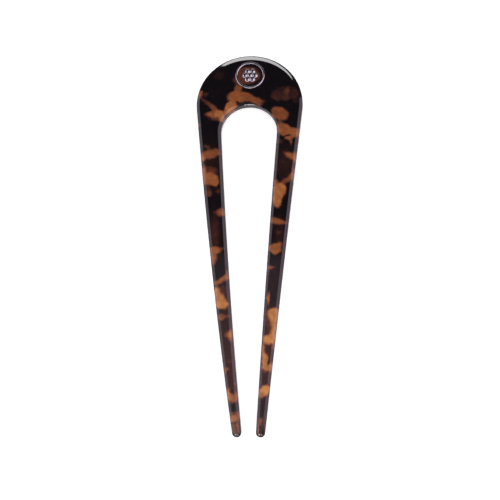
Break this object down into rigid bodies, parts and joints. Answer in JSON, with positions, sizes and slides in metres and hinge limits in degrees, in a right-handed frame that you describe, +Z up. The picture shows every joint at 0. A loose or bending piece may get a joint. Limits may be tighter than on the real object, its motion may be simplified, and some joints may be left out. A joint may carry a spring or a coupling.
{
  "type": "french hair pin",
  "caption": "U-shaped hair pin of bevelled tortoiseshell acetate, gently bent along its length, with tapering legs, round tips and a small silver ornament on the crown.",
  "frame": {"origin": "middle of the bounding box at the surface that the pin lies on", "axes": "+Y from the tips to the crown, +Z up out of the front face, +X across the pin, to the right as it is seen from the front with the crown up"},
  "size_m": [0.0374, 0.1346, 0.0132],
  "materials": {
    "tortoiseshell": "polished dark tortoiseshell acetate with amber patches",
    "silver": "polished silver-coloured metal"
  },
  "bodies": {
    "root": {"pin_body": "tortoiseshell", "ring_trim": "silver", "rosette": "silver"}
  },
  "joints": []
}
